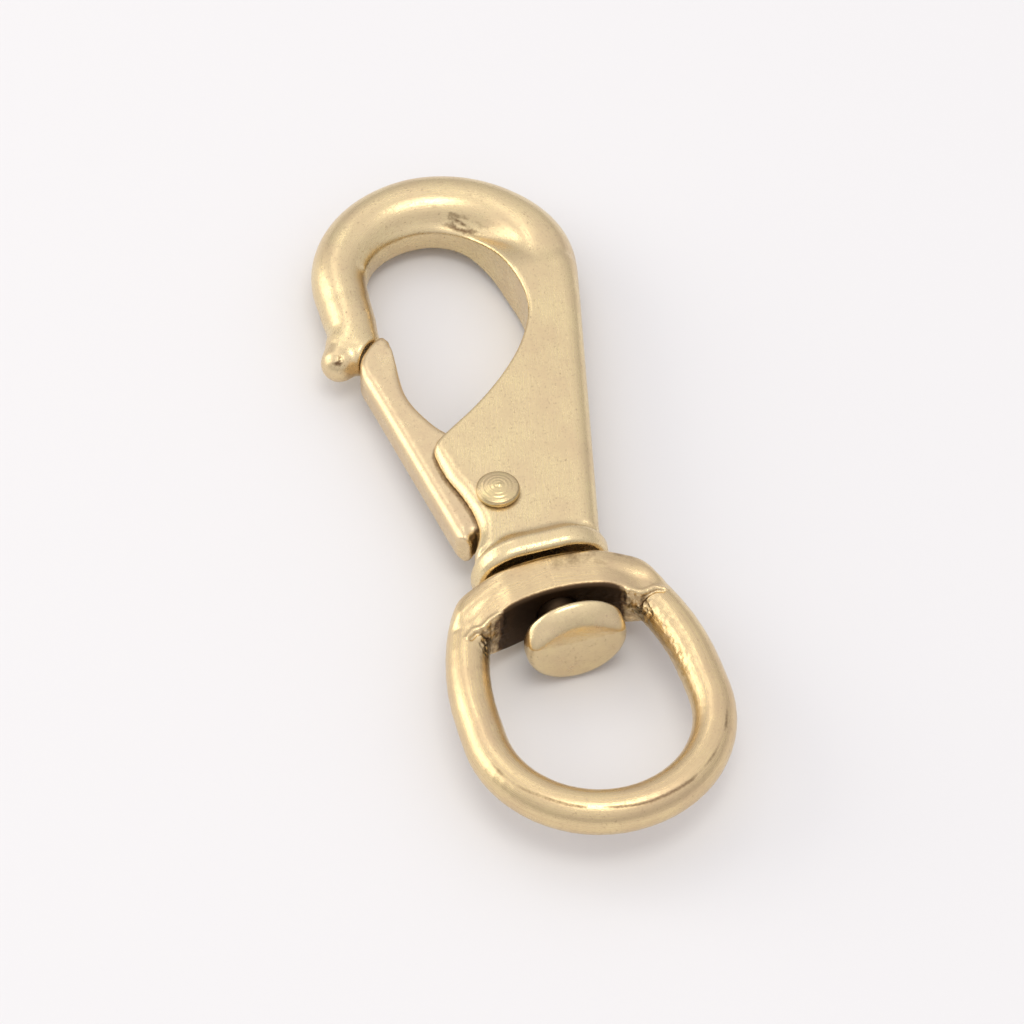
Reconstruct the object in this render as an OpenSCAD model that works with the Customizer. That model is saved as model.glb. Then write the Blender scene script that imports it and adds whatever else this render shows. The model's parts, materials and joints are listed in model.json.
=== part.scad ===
// Swivel trigger snap hook: a cast hook body with a sprung, riveted gate, and a
// round eye that swivels on a headed stud under the body's collar.
// The hook lies in the XY plane, with the swivel axis along Y and the gate on the -X side.
// The origin is the centre of the eye's round end.

/* [Hook] */
// Length of the hook from the collar's end face to the top of the bow
hook_l = 57.2; // [48:0.1:70]
// Diameter of the bar at the top of the bow and down the spine
bar_d = 7.2; // [6:0.1:8.6]
// Diameter of the bar where the nose begins
nose_d = 6.0; // [5:0.1:7.2]
// Diameter of the ball that ends the nose
ball_d = 3.8; // [3.2:0.1:4.5]
// Thickness of the flat body, over both cheeks
body_t = 6.8; // [6.2:0.1:8.1]

/* [Gate] */
// Thickness of the gate
gate_t = 4.2; // [3.4:0.1:5.2]
// Side clearance between the gate and each cheek
gate_gap = 0.15; // [0.1:0.05:0.3]
// Clearance between the closed gate's tip and its seat in the nose
seat_gap = 0.2; // [0.15:0.05:0.4]
// Outer diameter of the gate's hinge boss
boss_d = 6.8; // [5.8:0.1:7.4]

/* [Rivet and spring] */
// Diameter of the rivet's shank
rivet_d = 2.8; // [2.2:0.1:3.4]
// Running clearance round the rivet in the gate, on the radius
rivet_gap = 0.05; // [0.02:0.01:0.1]
// Diameter of the rivet's domed head
rivet_head_d = 4.6; // [4:0.1:5.5]
// Height of the rivet's domed head
rivet_head_h = 0.95; // [0.6:0.05:1.3]
// Diameter of the spring's wire
wire_d = 0.6; // [0.4:0.05:0.7]

/* [Collar and stud] */
// Width of the oval collar, along X
collar_w = 14.8; // [12.6:0.1:17.5]
// Thickness of the oval collar, along Z
collar_t = 10.2; // [9:0.1:12]
// Diameter of the stud's shank
stud_d = 4.2; // [3.4:0.1:5.1]
// Depth of the stud's socket in the collar
socket_l = 4.2; // [3:0.1:4.6]
// Diameter of the stud's button head
button_d = 10.4; // [8.8:0.1:12.4]
// Thickness of the stud's button head
button_t = 2.7; // [2.4:0.1:3.6]
// Free length of shank that shows between the eye and the button head
stud_float = 3.0; // [0.5:0.1:4]

/* [Swivel eye] */
// Inside width of the eye
eye_w = 19; // [16:0.1:23]
// Inside length of the eye, from its round end to the saddle
eye_l = 24.1; // [22:0.1:28]
// Diameter of the eye's round bar
eye_bar_d = 4.5; // [4:0.1:5.6]
// Thickness of the saddle, along Z
saddle_t = 6.4; // [5.8:0.1:7.6]
// Height of the saddle, along Y
saddle_h = 3.9; // [3.4:0.1:4.8]
// Running clearance round the stud in the saddle, on the radius
stud_gap = 0.1; // [0.05:0.01:0.1]
// Clearance between the saddle and the collar's end face
collar_gap = 0.3; // [0.2:0.05:0.6]

/* [Hidden] */
$fn = 96;
through = 20;
brass = [0.83, 0.71, 0.47];
spring_steel = [0.62, 0.62, 0.63];

// The hook's outlines are drawn for a length of 57.2 and grow with hook_l
k = hook_l / 57.2;
slot_t = gate_t + 2 * gate_gap;
eye_r = (eye_w + eye_bar_d) / 2;
saddle_y = eye_l - eye_w / 2;
collar_y = saddle_y + saddle_h + collar_gap;

// Hook outlines, measured from the centre of the collar's end face
bow_c = [1.9, 42.9] * k;
bow_r = hook_l - bow_c.y;
bow_full = 0.4;
spine_lean = 13.6;
pivot = [-2.1, 9.6] * k;
tip_c = [-5.8, 30.3] * k;
tip_r = 5.0 * k;
tip_ang = 108;

// The throat's lower edge, from the bow down to the corner over the gate
throat_pts = [[10.6, 49.8], [8.3, 47.0], [7.7, 43.6], [8.3, 39.8], [8.7, 36.7], [8.3, 33.6], [7.1, 30.7],
    [5.3, 27.9], [2.7, 25.0], [-0.6, 22.1], [-3.6, 20.0]] * k;
corner_c = [-4.7, 16.6] * k;
corner_r = 2.2 * k;
// The cheeks' edge beside the gate, from the corner down to the collar
cheek_pts = [[-6.9, 15.4], [-6.6, 13.4], [-5.9, 11.1], [-5.4, 8.8], [-5.25, 6.8], [-5.5, 5.1],
    [-6.3, 3.8], [-6.9, 2.8]] * k;
// The nose, from the bow to its ball: x, y and radius
nose_pts = [[-9.95, 41.4, 0.97], [-10.05, 39.4, 0.90], [-10.4, 37.6, 0.86], [-11.2, 36.0, 0.79],
    [-12.1, 34.8, 0.69]];
ball_c = [-12.6, 34.3] * k;
// The gate's inner edge, from its tip down into the slot
gate_pts = [[-7.1, 33.6], [-7.3, 29.8], [-7.4, 26.9], [-6.9, 24.5], [-5.7, 21.7], [-4.6, 20.1],
    [-2.9, 18.2], [-0.9, 15.8], [0.6, 13.0]] * k;
// The gate's tail, under the rivet
tail_pts = [[-3.2, 6.6], [-5.4, 5.7], [-6.2, 4.6], [-7.4, 4.6]] * k;
// The slot for the gate reaches this far from the rivet, and its inner wall clears the boss by this much
slot_r = 15.6 * k;
boss_clear = 0.4;
slot_foot = 5.4 * k;

// The spring's coil, and the angles on it where its gate leg and its body leg start
spring_r = rivet_d / 2 + 0.7;
spring_pitch = wire_d + 0.05;
leg_a0 = 180;
leg_a1 = -35;
spring_sweep = 720 + leg_a0 - leg_a1;
gate_leg_l = 5.2;
gate_leg_slope = 0.03;
coil_gap = 0.25;
rest_gap = 0.05;
recess_r = spring_r + wire_d / 2 + coil_gap;
recess_t = spring_pitch * spring_sweep / 360 + wire_d + 0.2;

// A smooth curve through points p, with n steps to each span
function spline(p, n = 4) = [
    for (i = [0 : len(p) - 2], j = [0 : n - 1])
        let (
            t = j / n,
            a = p[max(i - 1, 0)], b = p[i], c = p[i + 1], d = p[min(i + 2, len(p) - 1)]
        )
        0.5 * (2 * b + (c - a) * t + (2 * a - 5 * b + 4 * c - d) * t * t
            + (3 * b - a - 3 * c + d) * t * t * t),
    p[len(p) - 1]
];

// Points on an arc about centre c, from angle a0 to a1
function arc(c, r, a0, a1, n = 8) =
    [for (i = [0 : n]) let (a = a0 + (a1 - a0) * i / n) c + r * [cos(a), sin(a)]];

function unit(v) = v / norm(v);

// The direction of path p of 3D points at its point i
function heading(p, i) = unit(p[min(i + 1, len(p) - 1)] - p[max(i - 1, 0)]);

// A round bar along path p, with radius r[i] at each point and flat ends.
// side is a direction that is never along the path.
module bar(p, r, side = [0, 0, 1], n = 20) {
    rings = [for (i = [0 : len(p) - 1])
        let (t = heading(p, i), u = unit(cross(side, t)), v = cross(t, u))
        for (j = [0 : n - 1]) p[i] + r[i] * (cos(360 * j / n) * u + sin(360 * j / n) * v)];
    last = len(p) - 1;
    faces = concat(
        [[for (j = [0 : n - 1]) j]],
        [for (i = [0 : last - 1], j = [0 : n - 1])
            [i * n + j, (i + 1) * n + j, (i + 1) * n + (j + 1) % n, i * n + (j + 1) % n]],
        [[for (j = [n - 1 : -1 : 0]) last * n + j]]);
    polyhedron(points = rings, faces = faces, convexity = 6);
}

// The bar's radius along the bow, from the spine (a = 0) to the nose (a = 180)
function bow_bar_r(a) = a < 90 ? bar_d / 2 : bar_d / 2 + (nose_d - bar_d) / 2 * (a - 90) / 90;

// The bow's centre line, a circle made a little fuller on the nose side
function bow_point(a) =
    bow_c + (bow_r - bow_bar_r(a) - (a > 0 ? bow_full * sin(2 * a) : 0)) * [cos(a), sin(a)];

// Bow and spine as one bar: up the spine, round the bow and down to the nose
spine_dir = [sin(spine_lean), cos(spine_lean)];
bow_start = bow_c + (bow_r - bar_d / 2) * [cos(spine_lean), -sin(spine_lean)];
spine_end = bow_start - spine_dir * (bow_start.y - 3) / spine_dir.y;
bow_angles = [for (i = [0 : 19]) -spine_lean + (180 + spine_lean) * i / 19];
hook_path = concat(
    [[spine_end.x, spine_end.y, bar_d / 2]],
    [for (a = bow_angles) let (c = bow_point(a)) [c.x, c.y, bow_bar_r(a)]],
    [for (p = nose_pts) [p.x * k, p.y * k, p.z * nose_d / 2]],
    [[ball_c.x, ball_c.y, ball_d / 2 - 0.05]]
);

module hook_bar() {
    bar([for (p = hook_path) [p.x, p.y, 0]], [for (p = hook_path) p.z]);
    translate([ball_c.x, ball_c.y, 0]) sphere(d = ball_d);
}

module plate_outline() {
    polygon(concat(
        spline(throat_pts),
        arc(corner_c, corner_r, 124, 180),
        spline(cheek_pts),
        [[0, 2], spine_end],
        [for (i = [0 : 5]) bow_point(bow_angles[i])]));
}

// The collar's profile, from its end face up to the neck: radius against height
collar_pts = [[0, 0], [collar_t / 2 - 0.5, 0], [collar_t / 2 - 0.1, 0.5], [collar_t / 2, 1.1],
    [collar_t / 2 - 0.3, 1.9], [collar_t / 2 - 1.9, 4.1], [0, 4.1]];
collar_flat = collar_w - collar_t;
collar_lip = 1.1;
collar_hollow = 0.7;

// Oval collar, round at both ends
module collar() {
    hull()
        for (s = [-1, 1])
            translate([s * collar_flat / 2, 0, 0]) rotate([-90, 0, 0])
                rotate_extrude($fn = 40) polygon(collar_pts);
}

// Shallow oval hollow in the collar's end face
module collar_recess() {
    hollow_r = collar_t / 2 - collar_lip;
    rotate([-90, 0, 0]) translate([0, 0, -1]) linear_extrude(1 + collar_hollow) {
        for (s = [-1, 1]) translate([s * collar_flat / 2, 0]) circle(hollow_r);
        square([collar_flat, 2 * hollow_r], center = true);
    }
}

// The slot's inner wall runs beside the spine: its place at height y
function wall_at(y) = [pivot.x + boss_d / 2 + boss_clear + (y - pivot.y) * tan(spine_lean), y];

module hook_slot() {
    linear_extrude(slot_t, center = true)
        intersection() {
            translate(pivot) circle(slot_r);
            polygon([[-30, 3.5 * k], [-5.2 * k, 3.5 * k], [-3.6 * k, slot_foot],
                wall_at(slot_foot), wall_at(bow_start.y), [-30, bow_start.y]]);
        }
}

module hook_body() {
    color(brass) translate([0, collar_y, 0]) difference() {
        union() {
            hook_bar();
            linear_extrude(body_t, center = true) plate_outline();
            collar();
        }
        hook_slot();
        collar_recess();
        translate([tip_c.x, tip_c.y, 0]) cylinder(r = tip_r + seat_gap, h = through, center = true);
        translate([pivot.x, pivot.y, 0]) cylinder(d = rivet_d, h = through, center = true);
        rotate([-90, 0, 0]) translate([0, 0, -1]) cylinder(d = stud_d, h = socket_l + 1);
    }
}

module gate_outline() {
    polygon(concat(
        arc(tip_c, tip_r, 191, tip_ang, 12),
        spline(gate_pts),
        arc(pivot, boss_d / 2, 30, -100, 12),
        tail_pts));
}

// Pocket for the spring, open towards the slot's wall. The gate leg rests on its outer side.
module gate_recess() {
    top = gate_leg_l + coil_gap;
    side = spring_r + wire_d / 2 + gate_leg_slope * gate_leg_l + rest_gap;
    linear_extrude(recess_t, center = true) translate(pivot) {
        circle(recess_r);
        polygon([[-recess_r, 0], [-side, top], [boss_d, top], [boss_d, -2], [0, 0]]);
    }
}

module gate() {
    color(brass) translate([0, collar_y, 0]) difference() {
        linear_extrude(gate_t, center = true) gate_outline();
        translate([pivot.x, pivot.y, 0]) cylinder(r = rivet_d / 2 + rivet_gap, h = through, center = true);
        gate_recess();
    }
}

// Domed head on the front, a flatter hammered head on the back
module gate_rivet() {
    head_r = rivet_head_d / 2;
    color(brass) translate([pivot.x, pivot.y + collar_y, 0]) {
        cylinder(d = rivet_d, h = body_t, center = true);
        translate([0, 0, body_t / 2]) rotate_extrude()
            polygon(concat([[0, 0], [head_r - 0.15, 0], [head_r, 0.15], [head_r, 0.35]],
                [for (a = [15 : 15 : 90]) [head_r * cos(a), 0.35 + (rivet_head_h - 0.35) * sin(a)]]));
        translate([0, 0, -body_t / 2]) rotate([180, 0, 0]) rotate_extrude()
            polygon([[0, 0], [head_r - 0.2, 0], [head_r - 0.1, 0.2], [head_r - 0.5, 0.5], [0, 0.6]]);
    }
}

// Torsion spring round the rivet: one leg rests on the gate, one on the slot's inner wall
module gate_spring() {
    count = round(12 * spring_sweep / 360);
    coil = [for (i = [0 : count])
        let (a = leg_a0 - spring_sweep * i / count, turn = (i / count - 0.5) * spring_sweep / 360)
        [pivot.x + spring_r * cos(a), pivot.y + spring_r * sin(a), turn * spring_pitch]];
    gate_leg = [for (y = [gate_leg_l, gate_leg_l / 2, wire_d])
        [pivot.x - spring_r - gate_leg_slope * y, pivot.y + y, coil[0].z]];
    splay = -leg_a1 - spine_lean;
    wall_l = (boss_d / 2 + boss_clear) * cos(spine_lean) - rest_gap - (spring_r + wire_d / 2) * cos(splay);
    body_leg = [for (l = [0.15, 0.5, 1])
        coil[count] + l * wall_l / sin(splay) * [cos(leg_a1 + 90), sin(leg_a1 + 90), 0]];
    path = concat(gate_leg, coil, body_leg);
    color(spring_steel) translate([0, collar_y, 0])
        bar(path, [for (p = path) wire_d / 2], n = 6);
}

// Shank with a button head, whose front is drafted to a ridge along X
module swivel_stud() {
    head_r = button_d / 2;
    back_y = collar_y - collar_gap - saddle_h - stud_float;
    rim_y = back_y - button_t;
    color(brass) union() {
        translate([0, back_y - 1, 0]) rotate([-90, 0, 0])
            cylinder(d = stud_d, h = collar_y + socket_l - back_y + 1);
        translate([0, back_y, 0]) rotate([90, 0, 0]) rotate_extrude()
            polygon([[0, 0], [head_r * 0.45, 0], [head_r * 0.8, 0.25], [head_r * 0.96, 0.75],
                [head_r, 1.3], [head_r, 1.9], [head_r * 0.95, 2.3], [head_r * 0.7, 2.75],
                [head_r * 0.4, button_t - 0.08], [0, button_t]]);
    }
}

// The eye's sides run straight, then lean in, then turn in at the shoulders
eye_straight = 2.5;
shoulder_drop = 2.15;
shoulder_y = saddle_y - shoulder_drop;
side_r = 28;
side_ang = asin((shoulder_y - eye_straight) / side_r);
shoulder_r = 5;
side_end = [eye_r - side_r + side_r * cos(side_ang), shoulder_y];
shoulder_c = side_end - shoulder_r * [cos(side_ang), sin(side_ang)];
saddle_top_r = 22;
saddle_in_r = 17;
saddle_span = 1.42 * eye_r;
saddle_flat = 1.1 * eye_r;
saddle_end_t = eye_bar_d - 0.6;

// A length of round bar, bent about centre c from angle a0 to a1
module eye_arc(c, r, a0, a1, d = eye_bar_d) {
    translate(c) rotate(a0) rotate_extrude(angle = a1 - a0) translate([r, 0]) circle(d = d);
}

module eye_side() {
    translate([eye_r, 0, 0]) rotate([-90, 0, 0]) cylinder(d = eye_bar_d, h = eye_straight);
    eye_arc([eye_r - side_r, eye_straight], side_r, 0, side_ang);
    eye_arc(shoulder_c, shoulder_r, side_ang - 6, side_ang + 60, eye_bar_d - 0.2);
}

// A thick bridge across the eye's top, thinning out over the shoulders
module saddle() {
    end_x = saddle_span / 2;
    end_z = saddle_end_t / 2;
    flat_x = saddle_flat / 2;
    flat_z = saddle_t / 2;
    intersection() {
        linear_extrude(saddle_t, center = true) difference() {
            intersection() {
                translate([0, saddle_y + saddle_h - saddle_top_r]) circle(saddle_top_r);
                translate([-saddle_span / 2, saddle_y - 3]) square([saddle_span, saddle_h + 4]);
            }
            translate([0, saddle_y - saddle_in_r]) circle(saddle_in_r);
        }
        translate([0, saddle_y + saddle_h + 1, 0]) rotate([90, 0, 0]) linear_extrude(saddle_h + 6)
            polygon([[end_x, -end_z], [end_x, end_z], [flat_x, flat_z], [-flat_x, flat_z],
                [-end_x, end_z], [-end_x, -end_z], [-flat_x, -flat_z], [flat_x, -flat_z]]);
    }
}

module swivel_eye() {
    color(brass) difference() {
        union() {
            eye_arc([0, 0], eye_r, 180, 360);
            eye_side();
            mirror([1, 0, 0]) eye_side();
            saddle();
        }
        translate([0, saddle_y - 4, 0]) rotate([-90, 0, 0]) cylinder(r = stud_d / 2 + stud_gap, h = 14);
    }
}

hook_body();
gate();
gate_rivet();
gate_spring();
swivel_stud();
swivel_eye();
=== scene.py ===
import json
import math

import bmesh
import bpy
import numpy as np
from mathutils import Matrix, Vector

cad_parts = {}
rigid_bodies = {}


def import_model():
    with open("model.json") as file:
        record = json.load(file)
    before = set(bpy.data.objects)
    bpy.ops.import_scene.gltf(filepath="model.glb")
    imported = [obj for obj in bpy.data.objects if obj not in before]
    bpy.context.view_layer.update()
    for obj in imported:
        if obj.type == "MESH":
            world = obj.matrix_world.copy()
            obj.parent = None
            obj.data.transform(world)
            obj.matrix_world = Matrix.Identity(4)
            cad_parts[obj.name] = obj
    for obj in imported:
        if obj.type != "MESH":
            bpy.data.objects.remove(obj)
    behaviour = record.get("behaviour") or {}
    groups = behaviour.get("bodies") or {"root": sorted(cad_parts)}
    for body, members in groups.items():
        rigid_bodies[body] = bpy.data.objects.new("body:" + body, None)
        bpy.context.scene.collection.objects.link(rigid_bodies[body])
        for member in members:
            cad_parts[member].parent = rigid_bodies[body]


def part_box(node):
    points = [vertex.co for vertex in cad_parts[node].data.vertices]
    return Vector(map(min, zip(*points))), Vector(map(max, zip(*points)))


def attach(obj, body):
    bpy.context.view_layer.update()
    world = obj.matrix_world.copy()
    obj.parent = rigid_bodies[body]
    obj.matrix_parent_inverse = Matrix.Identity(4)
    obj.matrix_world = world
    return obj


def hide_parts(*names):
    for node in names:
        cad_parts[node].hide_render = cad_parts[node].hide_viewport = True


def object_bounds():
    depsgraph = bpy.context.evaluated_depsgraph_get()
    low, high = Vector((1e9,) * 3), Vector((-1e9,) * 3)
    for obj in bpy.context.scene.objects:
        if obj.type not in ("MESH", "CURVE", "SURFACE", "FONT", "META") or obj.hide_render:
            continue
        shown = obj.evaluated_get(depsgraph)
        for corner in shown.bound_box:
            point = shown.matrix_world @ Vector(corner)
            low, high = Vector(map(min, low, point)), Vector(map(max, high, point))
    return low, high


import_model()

CAD_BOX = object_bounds()

# ---------------------------------------------------------------------------
# Sizes in millimetres, in the frame's own axes. The origin is the eye's centre, the
# middle plane is z = 0 and the swivel's axis is x = 0. Places along Y on the hook and
# on the gate are measured from the collar's face, which is at COLLAR_Y.
# ---------------------------------------------------------------------------
MM = 0.001
COLLAR_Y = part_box("hook_body")[0][1] / MM
COLLAR_W = 14.8
COLLAR_T = 10.2
BODY_T = 6.8
BOW_C = (1.9, 42.9)
BOW_R = 14.3                # outside of the bow
BOW_SKEW = 0.4              # how much flatter the bow is on its right, and fuller on its left
BAR_D = 7.2
NOSE_D = 6.0
BALL_C = (-12.6, 34.3)      # the ball at the nose's end
BALL_R = 1.9
SPINE_LEAN = math.radians(13.6)
SLOT_T = 4.5
GATE_T = 4.2
PIVOT = (-2.1, 9.6)
TIP_C = (-5.8, 30.15)       # the gate's round end, which seats in the nose
TIP_R = 5.4
SEAT_GAP = 0.2
RIVET_D = 2.8
RIVET_HEAD_D = 4.6
WIRE_D = 0.6                # the spring's wire
STUD_D = 4.2
STUD_DEPTH = 4.2            # how far the stud goes into the collar
STUD_FLOAT = 3.0            # free shank between the saddle and the button
BUTTON_D = 10.4
BUTTON_T = 2.7
EYE_W = 19.0
EYE_BAR_D = 4.5
SADDLE_Y = 14.6
SADDLE_H = 3.9
SADDLE_T = 6.4

# Bar centres down the nose, with the bar's radius at each, and down the nose's inner heel
NOSE = [(-10.0, 41.4, 2.8), (-10.1, 39.4, 2.65), (-10.6, 37.6, 2.4), (-11.4, 36.0, 2.3), (-12.2, 34.9, 2.0)]
HEEL = np.array([(-10.0, 40.5, 2.5), (-9.9, 38.5, 2.45), (-9.85, 36.6, 2.3), (-10.0, 34.8, 2.3)])
# The flat body's outline along the throat, and down its left side to the collar
THROAT = [(-6.8, 45.6), (-5.9, 47.3), (-4.3, 48.75), (-1.8, 49.65), (0.8, 49.8), (3.2, 49.0), (5.4, 47.2),
          (7.1, 44.0), (8.1, 40.2), (8.6, 36.7), (8.3, 33.6), (7.1, 30.7), (5.3, 27.9), (2.7, 25.0),
          (-0.6, 22.1), (-3.6, 20.0)]
CHEEK = [(-6.9, 15.4), (-6.6, 13.4), (-5.9, 11.1), (-5.4, 8.8), (-5.25, 6.8), (-5.45, 5.3),
         (-5.95, 4.2), (-6.45, 3.2), (-6.6, 2.2)]
# The gate's inner edge, from its tip to its hinge boss
GATE_INNER = [(-7.05, 34.3), (-7.1, 33.2), (-7.3, 29.8), (-7.4, 26.9), (-6.9, 24.5), (-5.7, 21.7),
              (-4.6, 20.1), (-2.9, 18.2), (-0.9, 15.8), (0.6, 13.0)]


# ---------------------------------------------------------------------------
# Curves in the plan
# ---------------------------------------------------------------------------
def spline(points, steps=5):
    """A smooth curve through the points, given as rows of numbers."""
    p = np.array(points, float)
    out = []
    for i in range(len(p) - 1):
        a, b, c, d = p[max(i - 1, 0)], p[i], p[i + 1], p[min(i + 2, len(p) - 1)]
        for t in np.arange(steps) / steps:
            out.append(0.5 * (2 * b + (c - a) * t + (2 * a - 5 * b + 4 * c - d) * t ** 2
                              + (3 * b - a - 3 * c + d) * t ** 3))
    return np.array(out + [p[-1]])


def arc(centre, radius, start, end, steps=12):
    """Points along an arc, its angles in degrees."""
    a = np.radians(np.linspace(start, end, steps + 1))
    return np.stack([centre[0] + radius * np.cos(a), centre[1] + radius * np.sin(a)], axis=1)


# ---------------------------------------------------------------------------
# Distance fields, in millimetres: negative inside the metal
# ---------------------------------------------------------------------------
def ramp(v, start, end):
    """Rises smoothly from 0 at start to 1 at end."""
    t = np.clip((v - start) / (end - start), 0, 1)
    return t * t * (3 - 2 * t)


def away_from(x, y, centre):
    return np.hypot(x - centre[0], y - centre[1])


def outline_field(x, y, points):
    """Signed distance to a closed outline in the plan."""
    p = np.array(points, float)
    q = np.roll(p, -1, axis=0)
    best = np.full(np.broadcast(x, y).shape, 1e9)
    inside = np.zeros(best.shape, bool)
    for (ax, ay), (bx, by) in zip(p, q):
        ex, ey = bx - ax, by - ay
        length = ex * ex + ey * ey
        if length < 1e-12:
            continue
        t = np.clip(((x - ax) * ex + (y - ay) * ey) / length, 0, 1)
        best = np.minimum(best, (x - ax - t * ex) ** 2 + (y - ay - t * ey) ** 2)
        if ay != by:
            crosses = (ay > y) != (by > y)
            inside ^= crosses & (x < ax + (y - ay) * ex / ey)
    return np.where(inside, -1, 1) * np.sqrt(best)


def path_field(x, y, path):
    """Distance to an open path in the plan, and the path's third value at the nearest place."""
    best = np.full(np.broadcast(x, y).shape, 1e9)
    third = np.zeros(best.shape)
    for (ax, ay, az), (bx, by, bz) in zip(path[:-1], path[1:]):
        ex, ey = bx - ax, by - ay
        t = np.clip(((x - ax) * ex + (y - ay) * ey) / (ex * ex + ey * ey), 0, 1)
        d = np.hypot(x - ax - t * ex, y - ay - t * ey)
        nearer = d < best
        best = np.where(nearer, d, best)
        third = np.where(nearer, az + t * (bz - az), third)
    return best, third


def line_field(x, y, a, b):
    """Signed distance to a straight line from a to b, positive on its left."""
    e = (b - a) / np.hypot(*(b - a))
    return (y - a[1]) * e[0] - (x - a[0]) * e[1]


def join(a, b, blend):
    """Both shapes, with a fillet where they meet."""
    h = np.maximum(blend - np.abs(a - b), 0) / blend
    return np.minimum(a, b) - h * h * blend / 4


def common(a, b, blend):
    """What two shapes share, with its edge rounded."""
    return -join(-a, -b, blend)


def cut(a, b, blend):
    """The first shape without the second, with the cut's edge rounded."""
    return common(a, -b, blend)


def slab(flat, z, half, edge, under=None):
    """A plan shape given thickness above and under z = 0, its rim rounded to the radius edge."""
    u = flat + edge
    v = np.maximum(z - half, -z - (half if under is None else under)) + edge
    return np.hypot(np.maximum(u, 0), np.maximum(v, 0)) + np.minimum(np.maximum(u, v), 0) - edge


# ---------------------------------------------------------------------------
# From a distance field to a mesh of quads
# ---------------------------------------------------------------------------
def skin(name, field, low, high, step):
    """The zero surface of a field as an all-quad mesh object, riding nowhere yet."""
    axes = [np.arange(l - 2 * step, h + 3 * step, step) for l, h in zip(low, high)]
    x, y, z = np.meshgrid(*axes, indexing="ij", sparse=True)
    value = np.broadcast_to(field(x, y, z), tuple(len(a) for a in axes))
    verts, index = cell_points(axes, value, step)
    for _ in range(3):
        verts = settle(field, verts, step)
    return mesh_piece(name, verts, cell_quads(value < 0, index))


def cell_points(axes, value, step):
    """One vertex in each grid cell that the surface crosses, and the cells' vertex numbers."""
    shape = tuple(n - 1 for n in value.shape)
    corners = [(i, j, k) for i in (0, 1) for j in (0, 1) for k in (0, 1)]
    view = {c: value[c[0]:c[0] + shape[0], c[1]:c[1] + shape[1], c[2]:c[2] + shape[2]] for c in corners}
    count = sum((view[c] < 0).astype(np.int8) for c in corners)
    cells = np.argwhere((count > 0) & (count < 8))
    index = np.full(shape, -1, np.int64)
    index[tuple(cells.T)] = np.arange(len(cells))
    total = np.zeros((len(cells), 3))
    hits = np.zeros(len(cells))
    for axis in range(3):
        for c in corners:
            if c[axis]:
                continue
            d = tuple(1 if i == axis else c[i] for i in range(3))
            a = view[c][tuple(cells.T)]
            b = view[d][tuple(cells.T)]
            crossed = (a < 0) != (b < 0)
            t = np.where(crossed, a / np.where(crossed, a - b, 1), 0)
            place = np.array(c, float) + np.eye(3)[axis] * t[:, None]
            total += np.where(crossed[:, None], place, 0)
            hits += crossed
    return np.array([a[0] for a in axes]) + step * (cells + total / hits[:, None]), index


def cell_quads(inside, index):
    """A quad through the four cells round each grid edge that the surface crosses."""
    faces = []
    for axis in range(3):
        u, v = (axis + 1) % 3, (axis + 2) % 3
        here = [slice(1, -1)] * 3
        here[axis] = slice(0, -1)
        there = list(here)
        there[axis] = slice(1, None)
        a, b = inside[tuple(here)], inside[tuple(there)]
        edges = np.argwhere(a != b)
        flip = a[tuple(edges.T)]
        base = edges + np.array([0 if i == axis else 1 for i in range(3)])
        ring = []
        for du, dv in ((-1, -1), (0, -1), (0, 0), (-1, 0)):
            cell = base.copy()
            cell[:, u] += du
            cell[:, v] += dv
            ring.append(index[tuple(cell.T)])
        quad = np.stack(ring, axis=1)
        quad[~flip] = quad[~flip][:, ::-1]
        faces.append(quad)
    return np.concatenate(faces)


def settle(field, verts, step):
    """Moves vertices onto the field's zero surface along its slope."""
    h = 0.02
    base = at(field, verts)
    rises = [at(field, verts + h * e) - at(field, verts - h * e) for e in np.eye(3)]
    slope = np.stack(rises, axis=1) / (2 * h)
    steep = np.maximum((slope ** 2).sum(1), 0.25)
    move = -(base / steep)[:, None] * slope
    size = np.linalg.norm(move, axis=1, keepdims=True)
    return verts + move * np.minimum(1, 0.3 * step / np.maximum(size, 1e-9))


def at(field, verts):
    return field(verts[:, 0], verts[:, 1], verts[:, 2])


def mesh_piece(name, verts, faces):
    mesh = bpy.data.meshes.new(name)
    mesh.from_pydata((verts * MM).tolist(), [], faces.tolist())
    mesh.update()
    mesh.shade_smooth()
    piece = bpy.data.objects.new(name, mesh)
    bpy.context.scene.collection.objects.link(piece)
    return piece


# ---------------------------------------------------------------------------
# Relief and marks on a mesh
# ---------------------------------------------------------------------------
def hashed(i, j, k):
    v = np.sin(i * 12.9898 + j * 78.233 + k * 37.719) * 43758.5453
    return v - np.floor(v)


def noise(p, size, seed=0):
    """Smooth noise from 0 to 1 at the points p, its features the given size in millimetres."""
    q = p / size + seed * 17.3
    base = np.floor(q)
    t = q - base
    t = t * t * (3 - 2 * t)
    total = 0
    for c in [(i, j, k) for i in (0, 1) for j in (0, 1) for k in (0, 1)]:
        w = np.prod(np.where(c, t, 1 - t), axis=1)
        total = total + w * hashed(*(base + c).T)
    return total


def fractal(p, size, seed=0):
    """Four layers of noise, each half the size and half the strength of the last."""
    return sum(noise(p, size / 2 ** i, seed + i) * 0.5 ** i for i in range(4)) / 1.875


def points_of(mesh):
    p = np.empty(len(mesh.vertices) * 3)
    mesh.vertices.foreach_get("co", p)
    return p.reshape(-1, 3) / MM


def normals_of(mesh):
    normal = np.empty(len(mesh.vertices) * 3)
    mesh.vertex_normals.foreach_get("vector", normal)
    return normal.reshape(-1, 3)


def roughen(piece, relief):
    """Pushes the vertices along their normals, to give the surface its relief."""
    mesh = piece.data
    p = points_of(mesh)
    normal = normals_of(mesh)
    moved = p + normal * relief(p, normal)[:, None]
    mesh.vertices.foreach_set("co", (moved * MM).ravel())
    mesh.update()


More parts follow.
